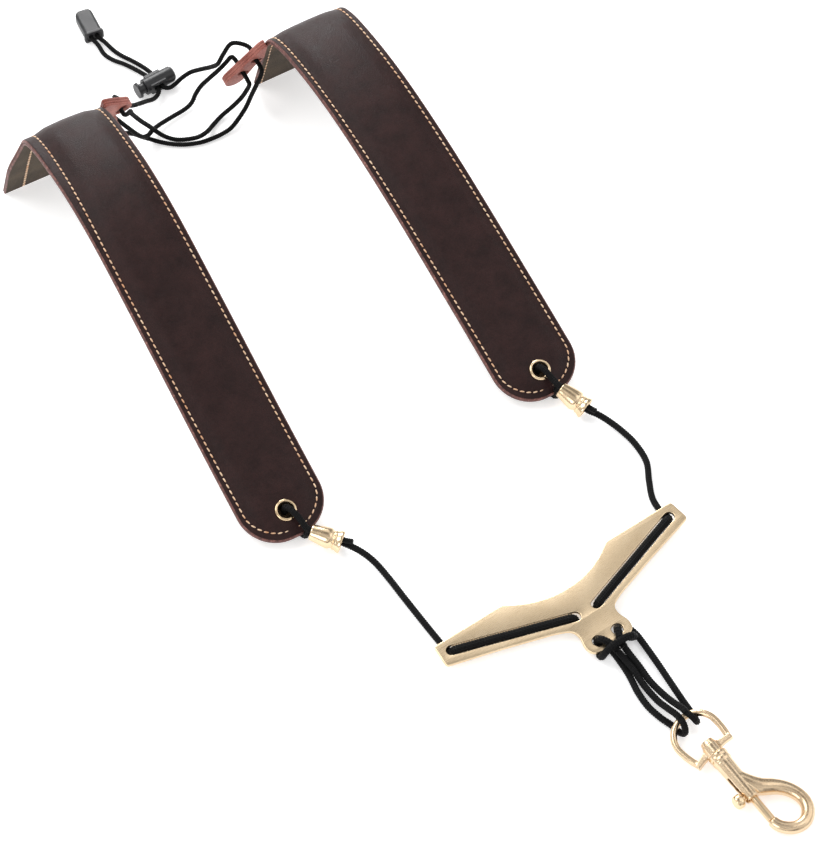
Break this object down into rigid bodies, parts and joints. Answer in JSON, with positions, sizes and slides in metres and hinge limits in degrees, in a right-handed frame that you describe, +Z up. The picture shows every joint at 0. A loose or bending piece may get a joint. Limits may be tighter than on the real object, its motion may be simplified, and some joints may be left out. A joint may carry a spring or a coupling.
{
  "type": "saxophone harness strap",
  "caption": "Shoulder harness strap for a saxophone: arched leather pads, cords through a V-shaped plate, a swivel snap hook, and a back lacing with a cord lock.",
  "frame": {"origin": "on the table under the middle of the footprint of the harness, without the tail of the lacing cord and the pieces on it", "axes": "+Y from the snap hook to the pads' cut ends, along the longest side; +Z up from the table"},
  "size_m": [0.2122, 0.6139, 0.0757],
  "materials": {
    "cover_leather": "satin",
    "lining_leather": "matte",
    "foam": "matte",
    "thread": "matte",
    "tab_leather": "satin",
    "cord": "matte",
    "lace": "matte",
    "gold_metal": "polished",
    "gold_plate": "satin",
    "gold_cast": "satin",
    "spring_steel": "satin",
    "plastic": "matte"
  },
  "bodies": {
    "harness": {"left_pad_cover": "cover_leather", "left_pad_foam": "foam", "left_pad_lining": "lining_leather", "left_pad_thread": "thread", "left_eyelet": "gold_metal", "left_eyelet_washer": "gold_metal", "left_back_tab": "tab_leather", "left_knot": "cord", "left_end_loop": "cord", "left_main_cord": "cord", "right_pad_cover": "cover_leather", "right_pad_foam": "foam", "right_pad_lining": "lining_leather", "right_pad_thread": "thread", "right_eyelet": "gold_metal", "right_eyelet_washer": "gold_metal", "right_back_tab": "tab_leather", "right_knot": "cord", "right_end_loop": "cord", "right_main_cord": "cord", "lace_outer": "lace", "lace_inner": "lace", "lace_diagonal": "lace", "tail_cord_left": "lace", "tail_cord_right": "lace", "cord_end_shell": "plastic", "cord_end_cap": "plastic"},
    "left_bell": {"left_bell": "gold_metal"},
    "right_bell": {"right_bell": "gold_metal"},
    "yoke": {"yoke_plate": "gold_plate", "left_slot_cord": "cord", "right_slot_cord": "cord", "hitch_cord": "cord", "left_drop_cord": "cord", "right_drop_cord": "cord", "left_return_cord": "cord", "right_return_cord": "cord"},
    "drop_loops": {"left_eye_wrap": "cord", "right_eye_wrap": "cord"},
    "snap_eye": {"snap_eye": "gold_cast"},
    "snap": {"snap_body": "gold_cast", "snap_post": "gold_cast", "snap_spring": "spring_steel"},
    "bolt": {"snap_bolt": "gold_cast", "snap_stud": "gold_cast"},
    "lock": {"lock_barrel": "plastic", "lock_spring": "spring_steel"},
    "lock_button": {"lock_button": "plastic"}
  },
  "joints": [
    {"name": "left_bell_slide", "type": "slide", "parent": "harness", "child": "left_bell", "axis": [0.6122, -0.7717, -0.1722], "range_m": [0, 0.0026], "deforming": ["left_end_loop", "left_main_cord"]},
    {"name": "right_bell_slide", "type": "slide", "parent": "harness", "child": "right_bell", "axis": [0.3175, -0.9081, -0.2731], "range_m": [0, 0.0026], "deforming": ["right_end_loop", "right_main_cord"]},
    {"name": "yoke_slide", "type": "slide", "parent": "harness", "child": "yoke", "axis": [0, 1, 0], "range_m": [-0.03, 0.045], "deforming": ["left_main_cord", "right_main_cord"]},
    {"name": "loops_slide", "type": "slide", "parent": "yoke", "child": "drop_loops", "axis": [0, -1, 0], "range_m": [-0.016, 0.0235], "deforming": ["left_drop_cord", "right_drop_cord", "left_return_cord", "right_return_cord"]},
    {"name": "snap_swing", "type": "hinge", "parent": "drop_loops", "child": "snap_eye", "pos_m": [0.003, -0.1914, 0.0072], "axis": [-1, 0, 0], "range_deg": [0, 60]},
    {"name": "snap_swivel", "type": "hinge", "parent": "snap_eye", "child": "snap", "pos_m": [0.003, -0.21406, 0.00612], "axis": [0, 0.9984, 0.0558], "continuous": true},
    {"name": "bolt_slide", "type": "slide", "parent": "snap", "child": "bolt", "axis": [0, 0.9984, 0.0558], "range_m": [0, 0.01], "stiffness_N_per_m": 300, "springref_m": -0.004, "deforming": ["snap_spring"]},
    {"name": "lock_slide", "type": "slide", "parent": "harness", "child": "lock", "axis": [0, 1, 0], "range_m": [-0.002, 0.014], "deforming": ["tail_cord_left", "tail_cord_right"]},
    {"name": "button_slide", "type": "slide", "parent": "lock", "child": "lock_button", "axis": [1, 0, 0], "range_m": [0, 0.0024], "stiffness_N_per_m": 1800, "springref_m": -0.002, "deforming": ["lock_spring"]}
  ],
  "couplings": [
    {"joint": "loops_slide", "follows": "yoke_slide", "ratio": 0.5}
  ]
}
